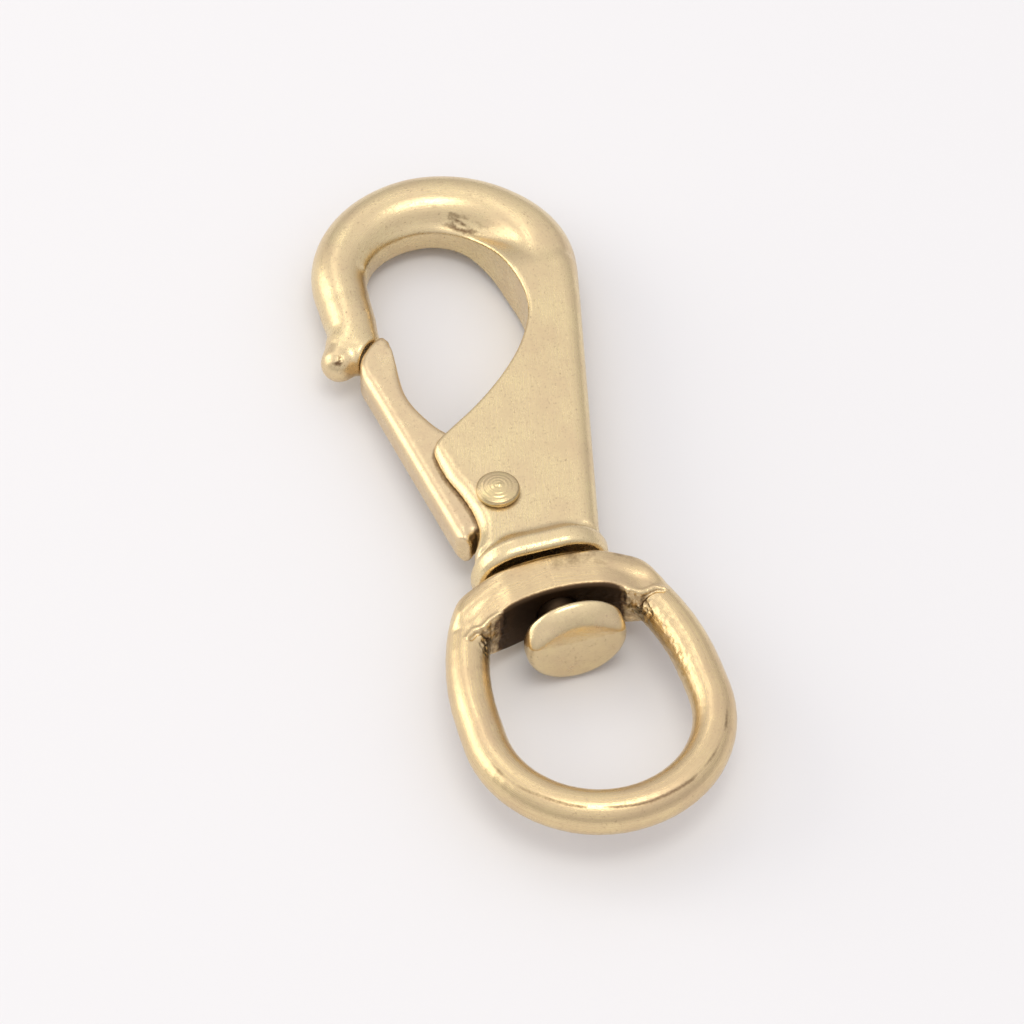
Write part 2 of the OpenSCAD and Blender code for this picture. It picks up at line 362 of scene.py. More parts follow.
def mark(piece, field, grime_and_shade=None, grain=None):
    """Writes what the materials read: worn edges, grime and painted shade in the hollows, and the grain's
    course.
    """
    mesh = piece.data
    p = points_of(mesh)
    normal = normals_of(mesh)
    inward = 0.5                    # an edge is where the metal is thin this far in
    edge = np.clip((at(field, p - inward * normal) + inward) / 0.3, 0, 1)
    outward = (0.5, 1.2, 2.5)       # a hollow is where there is metal this far out
    # how deep in a hollow each point is: it darkens the colour as grime and as painted shade
    hollow = sum(np.clip((d - at(field, p + d * normal)) / d, 0, 1) for d in outward) / len(outward)
    hollow = np.clip(hollow * 1.3, 0, 1)
    if grime_and_shade:
        hollow = np.clip(hollow + grime_and_shade(p, normal), 0, 1)
    write(mesh, "wear", edge)
    write(mesh, "grime_and_shade", hollow)
    along = grain(p) if grain else p
    attribute = mesh.attributes.new("grain", "FLOAT_VECTOR", "POINT")
    attribute.data.foreach_set("vector", np.ascontiguousarray(along, dtype=np.float32).ravel())


def write(mesh, name, values):
    attribute = mesh.attributes.new(name, "FLOAT", "POINT")
    attribute.data.foreach_set("value", values.astype(np.float32))


def along_path(path):
    """Grain that follows a bar: distance along the bar, then the two places across it."""
    def course(p):
        ends = path[:, :2]
        best = np.full(len(p), 1e9)
        out = np.zeros((len(p), 3))
        run = 0
        for a, b in zip(ends[:-1], ends[1:]):
            e = b - a
            length = np.hypot(*e)
            t = np.clip(((p[:, :2] - a) @ e) / length ** 2, 0, 1)
            off = p[:, :2] - a - t[:, None] * e
            side = (off @ np.array((-e[1], e[0]))) / length
            d = np.hypot(*off.T)
            nearer = d < best
            best = np.where(nearer, d, best)
            out[nearer] = np.stack([run + t * length, side, p[:, 2]], axis=1)[nearer]
            run += length
        return out
    return course


# ---------------------------------------------------------------------------
# Hook body: the bar of spine and bow, the flat body, the ball and the collar
# ---------------------------------------------------------------------------
def bow_point(a):
    """Centre line of the bow at angle a in degrees, and the bar's radius there."""
    r = BAR_D / 2 + (NOSE_D - 0.2 - BAR_D) / 2 * max(a - 90, 0) / 90
    skew = BOW_SKEW * math.sin(math.radians(2 * a)) * ramp(a, -10, 45)
    reach = BOW_R - r - skew + 0.4 * ramp(a, 110, 180)
    return (BOW_C[0] + reach * math.cos(math.radians(a)), BOW_C[1] + reach * math.sin(math.radians(a)), r)


def bow_offset(a, out):
    """A point beside the bow's centre line, out beyond it."""
    x, y, _ = bow_point(a)
    return (x + out * math.cos(math.radians(a)), y + out * math.sin(math.radians(a)))


def hook_path():
    """The bar's centre line: up the spine, round the bow and down the nose to the ball."""
    lean = math.degrees(SPINE_LEAN)
    bow = [bow_point(a) for a in np.linspace(-lean, 180, 26)]
    start = bow[0]
    foot_y = 3
    foot = (start[0] - (start[1] - foot_y) * math.tan(SPINE_LEAN), foot_y, start[2])
    return np.concatenate([[foot], spline(bow + NOSE + [(BALL_C[0], BALL_C[1], BALL_R - 0.05)], 2)])


HOOK_PATH = hook_path()
SPINE_TOP = HOOK_PATH[1][:2]
SPINE_FOOT = HOOK_PATH[0][:2]
SPINE_OUT = np.array((math.cos(SPINE_LEAN), -math.sin(SPINE_LEAN)))
SPINE_OUTER = 3.5           # the flat body's outer side, from the spine's centre line
SPINE_INNER = 2.2           # where the spine's bar is cut clear of the throat

PLATE = np.concatenate([
    [bow_offset(a, 0) for a in (110, 130, 150)],
    [(-8.0, 46.0)],
    spline(THROAT),
    arc((-4.7, 16.6), 2.2, 124, 180),
    spline(CHEEK),
    [(0, 1.6), SPINE_FOOT + SPINE_OUTER * SPINE_OUT, SPINE_TOP + SPINE_OUTER * SPINE_OUT],
    [bow_offset(a, out) for a, out in ((0, 3.4), (12, 3.0), (25, 2.0), (40, 0.6), (52, 0))],
])

SLOT_MOUTH_Y = 3.5
SLOT_FLOOR_Y = 5.4
SLOT_WALL = 2.6             # the slot's inner wall, from the spine's centre line
SLOT_REACH = 15.6           # the slot's far end, from the pivot
BEYOND = -30                # well outside the body
SLOT = np.array([(BEYOND, SLOT_MOUTH_Y), (-5.2, SLOT_MOUTH_Y), (-3.6, SLOT_FLOOR_Y),
                 (SPINE_FOOT[0] - SLOT_WALL, SLOT_FLOOR_Y), (SPINE_TOP[0] - SLOT_WALL, SPINE_TOP[1]),
                 (BEYOND, SPINE_TOP[1])])

# The collar's section: how far each point is inside its widest place, and its height over the face
COLLAR_STEPS = [(0.7, 0), (0.35, 0.2), (0.15, 0.6), (0, 1.5), (0.1, 1.95), (1.75, 3.6)]
COLLAR = np.array([(0, 0)] + [(COLLAR_T / 2 - inset, y) for inset, y in COLLAR_STEPS] + [(0, 3.8)])
RECESS_RIM = 1.1            # width of the collar's rim round the hollow in its face
RECESS_DEPTH = 0.7


def oval(x, z):
    """Distance from the straight line at the middle of the collar's oval."""
    return np.hypot(np.maximum(np.abs(x) - (COLLAR_W - COLLAR_T) / 2, 0), z)


def bar_field(x, y, z, right):
    """The round bar, flattened to the body's thickness up to the bow and cut clear of the throat."""
    d, r = path_field(x, y, HOOK_PATH)
    bar = common(np.hypot(d, z) - r, np.abs(z) - BODY_T / 2 - 0.6 * ramp(y, 40, 52), 0.8)
    bar = np.maximum(bar, np.minimum(-right - SPINE_INNER, x - 3) - 30 * ramp(y, 38, 50))
    d, r = path_field(x, y, HEEL)
    return join(bar, np.hypot(d, z) - r, 0.8)


def plate_field(x, y, z, right, over):
    """The flat body: sharp at the throat, rounded at the spine and the cheek, thinner over the bow."""
    sharp, spine, bow, cheek = 0.4, 1.3, 1.4, 1.1
    edge = sharp + (spine + bow * ramp(y, 33, 46)) * ramp(right, -1.0, 1.5)
    edge = edge + cheek * ramp(-x, 1.5, 4) * ramp(-y, -19, -15)
    edge = np.minimum(edge, 3.3 - 2.8 * over)
    return slab(outline_field(x, y, PLATE), z, BODY_T / 2 - 2.8 * over, edge, BODY_T / 2 - 1.4 * over)


def hook_body_field(x, y, z):
    y = y - COLLAR_Y
    right = (x - SPINE_FOOT[0]) * SPINE_OUT[0] + (y - SPINE_FOOT[1]) * SPINE_OUT[1]
    over = ramp(y, 39, 50.5)
    inner = ramp(away_from(x, y, BOW_C), 11.3, 9.5)
    body = join(bar_field(x, y, z, right), plate_field(x, y, z, right, over), 0.12 + 1.6 * over * inner)
    ball = np.sqrt((x - BALL_C[0]) ** 2 + (y - BALL_C[1]) ** 2 + z ** 2) - BALL_R
    body = join(body, ball, 0.5)
    around = oval(x, z)
    body = join(body, outline_field(around, y, COLLAR), 0.5)
    slot = np.maximum(outline_field(x, y, SLOT), away_from(x, y, PIVOT) - SLOT_REACH)
    body = cut(body, np.maximum(slot, np.abs(z) - SLOT_T / 2), 0.3)
    body = cut(body, away_from(x, y, TIP_C) - TIP_R - SEAT_GAP, 0.3)
    body = cut(body, np.maximum(around - (COLLAR_T / 2 - RECESS_RIM), y - RECESS_DEPTH), 0.3)
    body = np.maximum(body, RIVET_D / 2 - away_from(x, y, PIVOT))
    socket = np.maximum(np.hypot(x, z) - STUD_D / 2, y - STUD_DEPTH)
    return np.maximum(body, -socket)


def body_relief(p, normal):
    """The slight waviness of a hand-finished casting, and its fine roughness."""
    return 0.05 * (fractal(p, 5.0, 21) - 0.5) + 0.012 * (fractal(p, 0.7, 23) - 0.5)


def bow_stain(p):
    """Dark streaks inside the bow's crown, drawn out at a slant."""
    away = p - (4.9, COLLAR_Y + 49.1, 2.6)
    run = away[:, 0] * 0.72 - away[:, 1] * 0.69
    across = away[:, 0] * 0.69 + away[:, 1] * 0.72
    spread = ramp(-np.hypot(run / 3.6, across / 0.9), -1.5, -0.3)
    streaks = np.stack([run * 0.3, across, away[:, 2]], axis=1)
    return spread * (ramp(fractal(streaks, 0.5, 3), 0.36, 0.60) * (p[:, 2] > 0.5))


def nose_dimple(p):
    """A dark patch on the ball at the nose's end."""
    centre = (BALL_C[0] - 0.4, COLLAR_Y + BALL_C[1] - 1.0, 1.6)
    spread = ramp(-np.linalg.norm(p - centre, axis=1), -1.0, -0.3)
    return spread * ramp(fractal(p, 0.5, 41), 0.35, 0.55)


def body_grime_and_shade(p, normal):
    """The stain and the dimple, a painted shadow below the rivet's head, and less painted shade in the
    collar's hollow.
    """
    y = p[:, 1] - COLLAR_Y
    # less painted shade in the collar's hollow, so that it stays brown
    hollow = (y < 1.2) & (oval(p[:, 0], p[:, 2]) < COLLAR_T / 2 - 0.95)
    rivet_off = away_from(p[:, 0], y, PIVOT) - RIVET_HEAD_D / 2
    # painted shadow below the rivet's head
    rivet_shadow = ramp(-rivet_off, -0.9, 0.0) * (p[:, 2] > 3) * np.clip(0.5 - 0.5 * (y - PIVOT[1]), 0, 1)
    return np.where(hollow, -0.3, 0) + 0.62 * bow_stain(p) + 0.9 * nose_dimple(p) + 0.5 * rivet_shadow


# ---------------------------------------------------------------------------
# Gate: a lever with a straight outer side, a round end, and a pocket for its spring
# ---------------------------------------------------------------------------
GATE_END = arc(TIP_C, TIP_R, 191, 112)
GATE_TAIL = np.array((-7.45, 5.0))
GATE = np.concatenate([
    GATE_END,
    [(-7.45, 35.05)],
    spline(GATE_INNER),
    arc(PIVOT, 3.4, 30, -100),
    [(-3.2, 6.9), (-5.4, 6.2), (-6.3, 5.2), GATE_TAIL],
])
TAIL_CUT = (np.array((-8.6, 7.0)), np.array((-6.0, 4.9)))   # the slanted cut across the gate's tail
COIL_OUT = 0.7              # from the rivet's side to the middle of the spring's wire
COIL_ROOM = 0.25
HUB_R = RIVET_D / 2 + COIL_OUT + WIRE_D / 2 + COIL_ROOM
HUB_HALF = 1.07
POCKET = [(PIVOT[0] - HUB_R, PIVOT[1]), (-5.6, 16.6), (4, 16.6), (4, 7.5), PIVOT]


def gate_field(x, y, z):
    y = y - COLLAR_Y
    outer = np.minimum(-line_field(x, y, GATE_END[0], GATE_TAIL), 9)
    tip = TIP_R - away_from(x, y, TIP_C)
    near = np.minimum(np.abs(outer), np.abs(tip) + 10 * ramp(-y, 1 - TIP_C[1], 3 - TIP_C[1]))
    edge = 1.3 - 0.6 * ramp(y, 29, 32) - 0.6 * ramp(near, 1.4, 2.6)
    gate = slab(outline_field(x, y, GATE), z, GATE_T / 2, edge)
    gate = common(gate, -line_field(x, y, *TAIL_CUT), 0.3)
    pocket = np.minimum(away_from(x, y, PIVOT) - HUB_R, outline_field(x, y, POCKET))
    gate = cut(gate, np.maximum(pocket, np.abs(z) - HUB_HALF), 0.2)
    return np.maximum(gate, RIVET_D / 2 + 0.05 - away_from(x, y, PIVOT))


def gate_wall_shadow(p, normal):
    """Painted shadow on the gate along the edges of the body's walls, where it goes in between them."""
    outside = outline_field(p[:, 0], p[:, 1] - COLLAR_Y, PLATE)
    return 0.7 * ramp(-outside, -0.5, -0.1) * (np.abs(p[:, 2]) > 1.5)


# ---------------------------------------------------------------------------
# Swivel eye: a round bar with a thick saddle across its top
# ---------------------------------------------------------------------------
EYE_R = (EYE_W + EYE_BAR_D) / 2
SADDLE_TOP_R = 22
SADDLE_UNDER_R = 17


def eye_path():
    """The bar's centre line: the round end, leaning sides, and shoulders turning in to the saddle."""
    side_r, straight, shoulder_y, shoulder_r = 28.0, 2.5, EYE_R + 0.7, 5
    lean = math.asin((shoulder_y - straight) / side_r)
    side = arc((EYE_R - side_r, straight), side_r, 0, math.degrees(lean), 5)
    centre = side[-1] - shoulder_r * np.array((math.cos(lean), math.sin(lean)))
    shoulder = arc(centre, shoulder_r, math.degrees(lean), math.degrees(lean) + 62, 6)
    right = np.concatenate([arc((0, 0), EYE_R, -90, 0, 16), side, shoulder[1:]])
    left = right[:0:-1] * (-1, 1)
    path = np.concatenate([left, right])
    return np.concatenate([path, np.full((len(path), 1), EYE_BAR_D / 2)], axis=1)


EYE_PATH = eye_path()
# The folds where the saddle's front runs out over the bar. Each row is a place in the plan, and the
# Y above which the fold has its lip.
FOLDS = [
    np.array([(-9.9, 11.45, 11.6), (-9.2, 12.0, 12.0), (-8.3, 11.95, 12.1), (-7.4, 12.5, 12.4),
              (-6.5, 12.6, 12.6)]),
    np.array([(7.2, 12.1, 12.1), (8.2, 11.75, 11.8), (9.1, 11.9, 11.9), (9.9, 12.1, 12.2),
              (10.6, 11.9, 12.0)]),
]


def saddle_field(x, y, z):
    """An arched bridge, thinning out toward its ends."""
    top = np.hypot(x, y - (SADDLE_Y + SADDLE_H + 0.45 - SADDLE_TOP_R)) - SADDLE_TOP_R
    under = SADDLE_UNDER_R - np.hypot(x, y - (SADDLE_Y - 0.5 - SADDLE_UNDER_R))
    span = np.abs(x) - 0.86 * EYE_R
    half = SADDLE_T / 2 + 0.3 - 1.3 * ramp(np.abs(x), 4.5, 10.0)
    return slab(common(common(top, under, 0.5), span, 1.5), z, half, 0.6)


def swivel_eye_field(x, y, z):
    d, r = path_field(x, y, EYE_PATH)
    middle = SADDLE_Y + SADDLE_H / 2 - x * x / 39
    eye = join(np.hypot(d, z) - r, saddle_field(x, y, z), 0.4 + 1.8 * ramp(y - middle, -1.0, 1.0))
    front = ramp(z, 0.4, 1.2)
    for fold in FOLDS:
        d, lift = path_field(x, y, fold)
        groove = 0.22 * np.exp(-((d / 0.2) ** 2))
        lip = 0.16 * np.exp(-(((d - 0.45) / 0.28) ** 2)) * (y > lift)
        eye = eye + front * (groove - lip)
    bore = STUD_D / 2 + 0.1 - np.hypot(x, z)
    return np.maximum(eye, np.where(y > 8, bore, -1e3))


def cast_corner(p, normal):
    """How much rough cast skin is left: at the opening's corners and inside the right arm."""
    inward = np.clip(-normal[:, 0] * np.sign(p[:, 0]) * 1.3 + 0.1, 0, 1)
    corner = ramp(-np.hypot(np.abs(p[:, 0]) - 7.6, p[:, 1] - 11.6), -3.4, -1.2)
    arm = ramp(p[:, 1], -3, 4) * (p[:, 0] > 0) * 0.45
    under = np.clip(-normal[:, 1], 0, 1) * ramp(p[:, 1], 9, 11)
    inside = ramp(np.abs(p[:, 2]), 2.9, 2.2)
    return np.clip(np.maximum(corner, arm) * np.maximum(inward, under) * inside, 0, 1)


def eye_relief(p, normal):
    """Lumps in the rough cast skin, and the slight waviness of the bar."""
    lump = fractal(p, 0.42, 11) - 0.5
    wave = fractal(p, 6.0, 5) - 0.5
    return 0.32 * lump * cast_corner(p, normal) + 0.10 * wave


def eye_grime_and_shade(p, normal):
    """Painted shade on the saddle's underside, held back under its ends, and the rough corners, the
    saddle's crown and a seam along the round end.
    """
    x, y, z = p.T
    facing_down = -normal[:, 1]
    # painted shade: the saddle's underside, in the gap over the button, goes dark
    under = np.clip(1.5 * facing_down, 0, 1) * ramp(y, 10.5, 12.0) * ramp(-np.abs(x), -8.2, -5.5)
    # less of the hollows' painted shade and grime under the saddle's ends
    ends = ramp(np.abs(x), 5.8, 7.2) * ramp(y, 9, 10.5) * np.clip(facing_down, 0, 1)
    rough = cast_corner(p, normal) * (0.35 + 0.65 * ramp(fractal(p, 0.42, 11), 0.60, 0.38))
    patch = ramp(fractal(p, 2.2, 7), 0.3, 0.7)
    crown = ramp(y, 15.2, 17.6) * ramp(z, -1, 2) * patch * ramp(x, -4, 3)
    off_seam = np.hypot(x, y) - EYE_R - 1.3 + 0.4 * noise(p, 5, 2)
    seam = np.exp(-((off_seam / 0.2) ** 2)) * (z > 0) * ramp(-y, 2, 6) * ramp(noise(p, 2.4, 9), 0.35, 0.6)
    return 1.2 * under + 0.5 * rough + 0.65 * crown + 0.75 * seam - 0.4 * ends


# ---------------------------------------------------------------------------
# Swivel stud: a shank and a button head, whose face is creased along X
# ---------------------------------------------------------------------------
CREASE_Z = 1.2
BUTTON_BACK_Y = SADDLE_Y - STUD_FLOAT - 0.1


def swivel_stud_field(x, y, z):
    shank = np.maximum(BUTTON_BACK_Y - 1 - y, y - COLLAR_Y - STUD_DEPTH)
    shank = np.maximum(np.hypot(x, z) - STUD_D / 2, shank)
    r = np.hypot(x - 0.75, z) * BUTTON_D / 10.6
    high = np.maximum(z - CREASE_Z, 0)
    low = np.minimum(z - CREASE_Z, 0)
    front = BUTTON_BACK_Y - BUTTON_T - 0.15 - 0.04 * low + 0.32 * high + 0.04 * high * high
    dome = front - y + 0.1 * ramp(r, 3.0, 5.2)
    head = common(r - BUTTON_D / 2, dome, 1.1 + 1.7 * ramp(z, 1.0, 3.4))
    return join(shank, common(head, y - BUTTON_BACK_Y, 0.9), 0.4)


def stud_relief(p, normal):
    """The fine roughness of the casting."""
    return 0.012 * (fractal(p, 0.7, 23) - 0.5)


def stud_shade_and_marks(p, normal):
    """Painted shade on the shank in the gap under the saddle, where hands also never polish it, and smudges
    and specks on the button's face.
    """
    x, y, z = p.T
    smudge = 0
    for smudge_x, smudge_z, length in ((-1.6, 3.7, 1.0), (1.5, 4.4, 0.5)):
        smudge = smudge + ramp(-np.hypot((x - smudge_x) / length, (z - smudge_z) / 0.35), -1.0, -0.2)
    speckle = ramp(fractal(p, 0.5, 31), 0.62, 0.74) * ramp(-np.hypot(x, z + 1.8), -3.0, -1.0)
    # the shank behind the button is darkened as painted shade, and as unpolished metal
    return ramp(y, 11.2, 12.2) + (0.5 * smudge + 0.35 * speckle) * ramp(-y, -10, -9)


# ---------------------------------------------------------------------------
# Rivet: turned on a lathe
# ---------------------------------------------------------------------------
RIVET_TOP = BODY_T / 2 + 0.75       # foot of the dome on the front head


def rivet_profile():
    """Radius and height from the flatter back head, along the shank, to the domed front head."""
    top = BODY_T / 2
    r = RIVET_HEAD_D / 2
    back = [(0.02, -top - 0.6), (1.0, -top - 0.58), (1.7, -top - 0.45), (r - 0.15, -top - 0.25),
            (r - 0.12, -top - 0.1), (r - 0.25, -top), (RIVET_D / 2, -top)]
    corner = 0.4                    # radius of the front head's corner
    rim = [(r - corner + corner * math.cos(a), RIVET_TOP - corner + corner * math.sin(a))
           for a in np.linspace(0.2, 1.4, 6)]
    front = [(RIVET_D / 2, top), (r - 0.15, top), (r, top + 0.15), (r, top + 0.33)] + rim
    ring_gap = 0.42                 # between the rings that the tool left
    for q in np.arange(r - 0.45, 0.03, -0.06):
        swell = 0.3 * (1 - (q / (r - corner)) ** 2)
        front.append((q, RIVET_TOP + swell + 0.015 * math.sin(2 * math.pi * q / ring_gap)))
    return back + front


def lathe(name, profile, sides=96):
    """A solid turned about Z through the rivet's hole, from a profile of radius and height."""
    a = 2 * np.pi * np.arange(sides) / sides
    rings = [np.stack([PIVOT[0] + r * np.cos(a), COLLAR_Y + PIVOT[1] + r * np.sin(a), np.full(sides, h)], 1)
             for r, h in profile]
    faces = []
    for i in range(len(profile) - 1):
        for j in range(sides):
            k = (j + 1) % sides
            faces.append((i * sides + j, i * sides + k, (i + 1) * sides + k, (i + 1) * sides + j))
    piece = mesh_piece(name, np.concatenate(rings), np.array(faces))
    mesh = piece.data
    bm = bmesh.new()
    bm.from_mesh(mesh)
    for side in (1, -1):
        rim = [e for e in bm.edges if e.is_boundary and e.verts[0].co.z * side > 0]
        bmesh.ops.contextual_create(bm, geom=rim)
    bmesh.ops.recalc_face_normals(bm, faces=bm.faces)
    bm.to_mesh(mesh)
    bm.free()
    mesh.shade_smooth()
    return piece


def rivet_field(x, y, z):
    """Deep metal under the dome and open air above it."""
    return np.maximum(away_from(x, y - COLLAR_Y, PIVOT) - RIVET_HEAD_D / 2, z - BODY_T / 2 - 0.9)


def rivet_nib(p, normal):
    """The small nib that the tool left beside the dome's middle."""
    off = np.hypot(p[:, 0] - PIVOT[0] - 0.22, p[:, 1] - COLLAR_Y - PIVOT[1])
    return 0.12 * np.exp(-((off / 0.2) ** 2)) * (p[:, 2] > BODY_T / 2 + 0.5)


# ---------------------------------------------------------------------------
# Materials
# ---------------------------------------------------------------------------
GOLD, DEEP = (0.83, 0.68, 0.39), (0.64, 0.47, 0.31)
ORANGE, BROWN = (0.83, 0.66, 0.365), (0.58, 0.41, 0.27)
ROSE = (0.79, 0.635, 0.385)
OLIVE = (0.72, 0.59, 0.31)
# brown for pits and grime, and for painted shade in the hollows
GRIME_AND_SHADE_BROWN = (0.15, 0.085, 0.045, 1)
# near black, painted shade for the deepest hollows and gaps
PAINTED_SHADE_BLACK = (0.055, 0.035, 0.022, 1)
STEEL_DARK, STEEL_PALE = (0.42, 0.41, 0.39, 1), (0.60, 0.59, 0.57, 1)


class Nodes:
    """A short way to wire a material."""

    def __init__(self, name):
        self.material = bpy.data.materials.new(name)
        self.material.use_nodes = True
        self.tree = self.material.node_tree
        self.shader = self.tree.nodes["Principled BSDF"]

    def add(self, kind, inputs=None, **settings):
        node = self.tree.nodes.new(kind)
        for key, value in settings.items():
            setattr(node, key, value)
        for key, value in (inputs or {}).items():
            self.set(node.inputs[key], value)
        return node

    def set(self, socket, value):
        if isinstance(value, bpy.types.NodeSocket):
            self.tree.links.new(value, socket)
        else:
            socket.default_value = value

    def read(self, name):
        node = self.add("ShaderNodeAttribute", attribute_name=name)
        return node.outputs["Vector"] if name == "grain" else node.outputs["Fac"]

    def place_mm(self):
        """The place on the object, in millimetres."""
        return self.scaled(self.add("ShaderNodeTexCoord").outputs["Object"], (1 / MM, 1 / MM, 1 / MM))

    def math(self, operation, a, b=0.0, clamp=False):
        return self.add("ShaderNodeMath", {0: a, 1: b}, operation=operation, use_clamp=clamp).outputs[0]

    def plus(self, a, b):
        return self.math("ADD", a, b)

    def minus(self, a, b):
        return self.math("SUBTRACT", a, b)

    def times(self, a, b):
        return self.math("MULTIPLY", a, b)

    def scaled(self, vector, scale):
        return self.add("ShaderNodeMapping", {"Vector": vector, "Scale": scale}).outputs[0]

    def noise(self, vector, scale, detail=3.0, rough=0.55):
        inputs = {"Vector": vector, "Scale": scale, "Detail": detail, "Roughness": rough}
        return self.add("ShaderNodeTexNoise", inputs).outputs["Fac"]

    def ramp(self, value, start, end, low=0.0, high=1.0):
        inputs = {"Value": value, "From Min": start, "From Max": end, "To Min": low, "To Max": high}
        return self.add("ShaderNodeMapRange", inputs, clamp=True).outputs[0]

    def mix(self, share, a, b):
        node = self.add("ShaderNodeMix", data_type="RGBA")
        self.set(node.inputs[0], share)
        self.set(node.inputs[6], a)
        self.set(node.inputs[7], b)
        return node.outputs[2]


def brass(name, colour, deep, rough, grain=(0.12, 5.0, 5.0), streaks=0.34, pits=0.5):
    """Satin cast brass: tarnish, brushed grain, pits, grime and painted shade in the hollows, near black
    painted shade in the deepest, and polished edges.
    """
    n = Nodes(name)
    place = n.place_mm()
    grime_and_shade, wear = n.read("grime_and_shade"), n.read("wear")
    cloud = n.noise(place, 0.22, 4.0)
    speck = n.noise(place, 3.6, 4.0, 0.75)
    brush = n.noise(n.scaled(n.read("grain"), grain), 1.0, 4.0, 0.7)
    grime_and_shade_share = n.ramp(n.plus(grime_and_shade, n.times(n.minus(speck, 0.5), 0.7)), 0.27, 0.88)
    pit = n.ramp(speck, 0.59, 0.72, 0.0, pits)
    dark = n.math("MAXIMUM", grime_and_shade_share, pit, clamp=True)

    tarnish = n.ramp(n.plus(cloud, n.times(speck, 0.5)), 0.55, 0.98)
    pale = tuple(min(1.0, c * 1.12 + 0.03) for c in colour)
    base = n.mix(n.times(tarnish, 0.55), (*colour, 1), (*deep, 1))
    base = n.mix(n.ramp(brush, 0.38, 0.66, 0.0, streaks), base, (*deep, 1))
    base = n.mix(n.times(wear, 0.6), base, (*pale, 1))
    # pits and grime darken towards the brown, and so does the painted shade in the hollows
    base = n.mix(n.times(dark, 0.93), base, GRIME_AND_SHADE_BROWN)
    # painted shade: the deepest hollows and gaps go near black
    base = n.mix(n.ramp(grime_and_shade, 0.86, 1.0, 0.0, 0.75), base, PAINTED_SHADE_BLACK)
    n.set(n.shader.inputs["Base Color"], base)
    n.shader.inputs["Metallic"].default_value = 1.0

    dull = n.plus(n.ramp(brush, 0.3, 0.7, rough - 0.05, rough + 0.09), n.times(dark, 0.25))
    dull = n.minus(dull, n.times(wear, 0.06))
    n.set(n.shader.inputs["Roughness"], n.plus(dull, n.ramp(cloud, 0.3, 0.7, -0.03, 0.05)))

    height = n.minus(n.plus(n.times(brush, 0.35), n.times(speck, 0.5)), n.times(dark, 0.5))
    bump = n.add("ShaderNodeBump", {"Height": height, "Strength": 0.5, "Distance": 0.07 * MM})
    n.set(n.shader.inputs["Normal"], bump.outputs[0])
    return n.material


def spring_steel():
    n = Nodes("spring_steel")
    streak = n.noise(n.place_mm(), 4.0, 3.0)
    n.set(n.shader.inputs["Base Color"], n.mix(streak, STEEL_DARK, STEEL_PALE))
    n.set(n.shader.inputs["Roughness"], n.ramp(streak, 0.3, 0.7, 0.25, 0.42))
    n.shader.inputs["Metallic"].default_value = 1.0
    return n.material


# ---------------------------------------------------------------------------
# Build
# ---------------------------------------------------------------------------
STEP = 0.2
FINE = 0.14
EVEN = (0.5, 0.5, 0.5)              # grain with no direction


def place(piece, body, node, slot, material):
    """Rides the piece on its body, in place of its CAD node."""
    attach(piece, body)
    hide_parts(node)
    piece.data.materials.append(material)


def cast(name, body, node, slot, field, material, step, grime_and_shade, relief, grain=None):
    """A casting: the field's surface, marked, roughened and placed."""
    low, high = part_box(node)
    piece = skin(name, field, [v / MM - 1 for v in low], [v / MM + 1 for v in high], step)
    mark(piece, field, grime_and_shade, grain)
    roughen(piece, relief)
    place(piece, body, node, slot, material)


def rivet():
    piece = lathe("rivet_turned", rivet_profile())
    roughen(piece, rivet_nib)
    mark(piece, rivet_field)
    place(piece, "hook", "gate_rivet", "rivet_brass", brass("rivet_brass", OLIVE, DEEP, 0.22, EVEN))


def spring():
    """The spring keeps its CAD solid, and gets a better material."""
    wire = spring_steel()
    for piece in bpy.data.objects:
        if piece.type != "MESH":
            continue
        for i, material in enumerate(piece.data.materials):
            if material and material.name.startswith("spring_wire"):
                piece.data.materials[i] = wire


cast("body_casting", "hook", "hook_body", "body_brass", hook_body_field,
     brass("body_brass", GOLD, DEEP, 0.26, (0.35, 4.0, 4.0), 0.2, 0.7),
     STEP, body_grime_and_shade, body_relief, along_path(HOOK_PATH + (0, COLLAR_Y, 0)))
cast("gate_casting", "gate", "gate", "gate_brass", gate_field,
     brass("gate_brass", ROSE, DEEP, 0.29, (1.0, 1.0, 1.0)), STEP, gate_wall_shadow, body_relief)
cast("eye_casting", "eye", "swivel_eye", "eye_brass", swivel_eye_field,
     brass("eye_brass", ORANGE, BROWN, 0.25), FINE, eye_grime_and_shade, eye_relief, along_path(EYE_PATH))
cast("stud_casting", "hook", "swivel_stud", "stud_brass", swivel_stud_field,
     brass("stud_brass", GOLD, DEEP, 0.20, EVEN), FINE, stud_shade_and_marks, stud_relief)
rivet()
spring()


# ---------------------------------------------------------------------------
# Floor, light and camera, in metres
# ---------------------------------------------------------------------------
def floor():
    """A plain floor, tilted so that the hook rests on its collar and on its bow."""
    half, tilt = 2.0, 0.0285
    rest_y, rest_z = COLLAR_Y * MM, CAD_BOX[0][2]
    plan = ((-half, -half), (half, -half), (half, half), (-half, half))
    mesh = bpy.data.meshes.new("floor")
    mesh.from_pydata([(x, y, rest_z + (y - rest_y) * tilt) for x, y in plan], [], [(0, 1, 2, 3)])
    piece = bpy.data.objects.new("floor", mesh)
    bpy.context.scene.collection.objects.link(piece)
    material = bpy.data.materials.new("floor")
    material.use_nodes = True
    shader = material.node_tree.nodes["Principled BSDF"]
    shader.inputs["Base Color"].default_value = (0.80, 0.80, 0.825, 1)
    shader.inputs["Roughness"].default_value = 0.9
    mesh.materials.append(material)


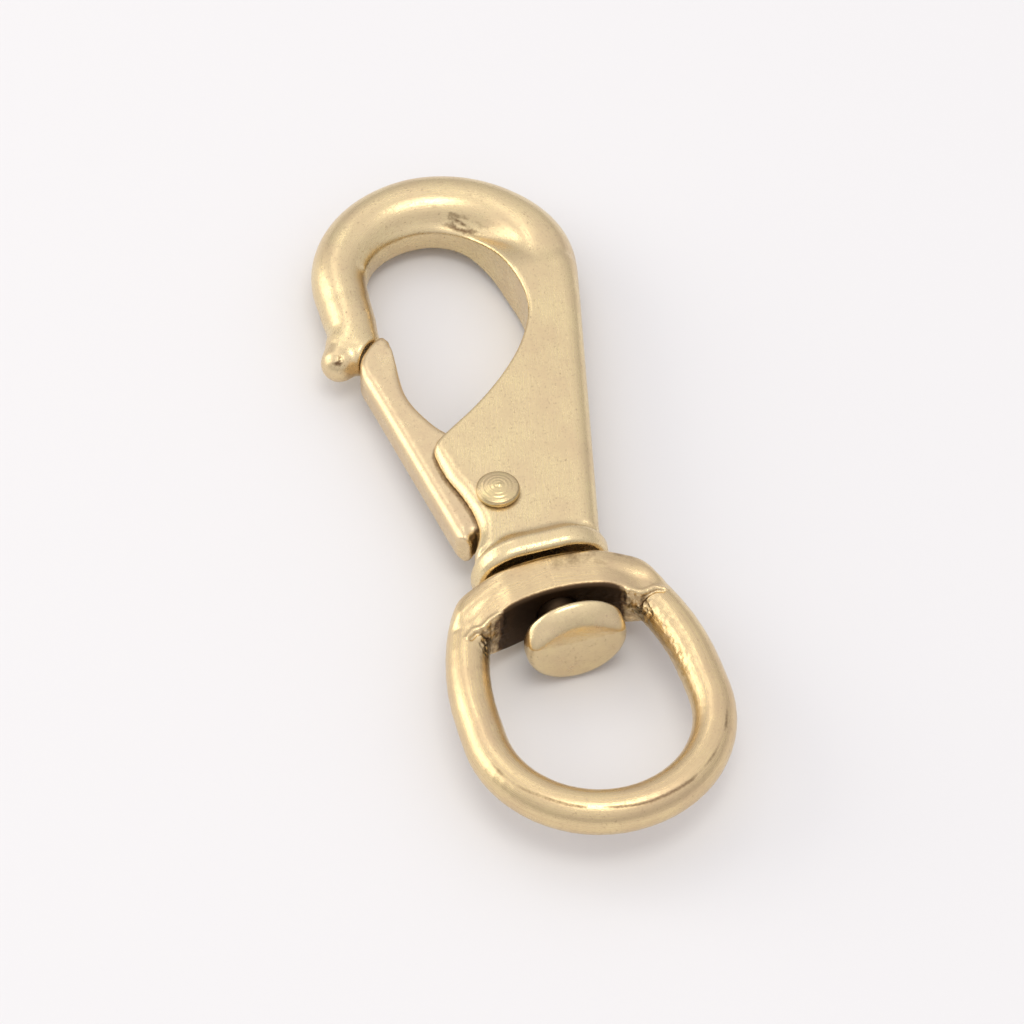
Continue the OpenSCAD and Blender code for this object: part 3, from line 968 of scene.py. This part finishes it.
def softbox(name, position, size, power):
    """A warm rectangular light, turned to the middle of the hook."""
    light = bpy.data.lights.new(name, "AREA")
    light.shape = "RECTANGLE"
    light.size, light.size_y = size
    light.energy = power
    light.color = (1.0, 0.965, 0.84)
    lamp = bpy.data.objects.new(name, light)
    lamp.location = position
    lamp.rotation_euler = (Vector((0, 0.03, 0)) - Vector(position)).to_track_quat("-Z", "Y").to_euler()
    bpy.context.scene.collection.objects.link(lamp)


def camera():
    """Looks down at the hook from its eye's end, a little from the left."""
    elevation, yaw = math.radians(50.5), math.radians(16.5)
    distance, seen_width = 0.450, 0.1068893528
    aim = Vector((-0.0007, 0.028, 0))
    level = math.cos(elevation)
    away = Vector((-math.sin(yaw) * level, -math.cos(yaw) * level, math.sin(elevation)))
    data = bpy.data.cameras.new("camera")
    data.sensor_width = 36
    data.lens = data.sensor_width * distance / seen_width
    data.clip_start = 0.01
    cam = bpy.data.objects.new("camera", data)
    cam.location = aim + away * distance
    cam.rotation_euler = (-away).to_track_quat("-Z", "Y").to_euler()
    bpy.context.scene.collection.objects.link(cam)
    bpy.context.scene.camera = cam
    bpy.context.scene.view_settings.view_transform = "Standard"


def world():
    """A white tent: bright overhead, dimmer toward the horizon."""
    tent = bpy.data.worlds.new("tent")
    tent.use_nodes = True
    tree = tent.node_tree
    coords = tree.nodes.new("ShaderNodeTexCoord")
    split = tree.nodes.new("ShaderNodeSeparateXYZ")
    shade = tree.nodes.new("ShaderNodeMapRange")
    for key, value in {"From Min": 0.0, "From Max": 0.8, "To Min": 0.50, "To Max": 0.98}.items():
        shade.inputs[key].default_value = value
    tree.links.new(coords.outputs["Generated"], split.inputs[0])
    tree.links.new(split.outputs["Z"], shade.inputs["Value"])
    tree.links.new(shade.outputs[0], tree.nodes["Background"].inputs["Strength"])
    tree.nodes["Background"].inputs["Color"].default_value = (1, 0.975, 0.99, 1)
    bpy.context.scene.world = tent


floor()
world()
softbox("overhead", (0.02, -0.12, 0.80), (0.40, 0.28), 1.25)
softbox("left", (-0.75, 0.45, 0.34), (0.75, 0.60), 2.6)
softbox("back", (-0.12, 0.55, 0.72), (0.30, 0.25), 0.3)
camera()
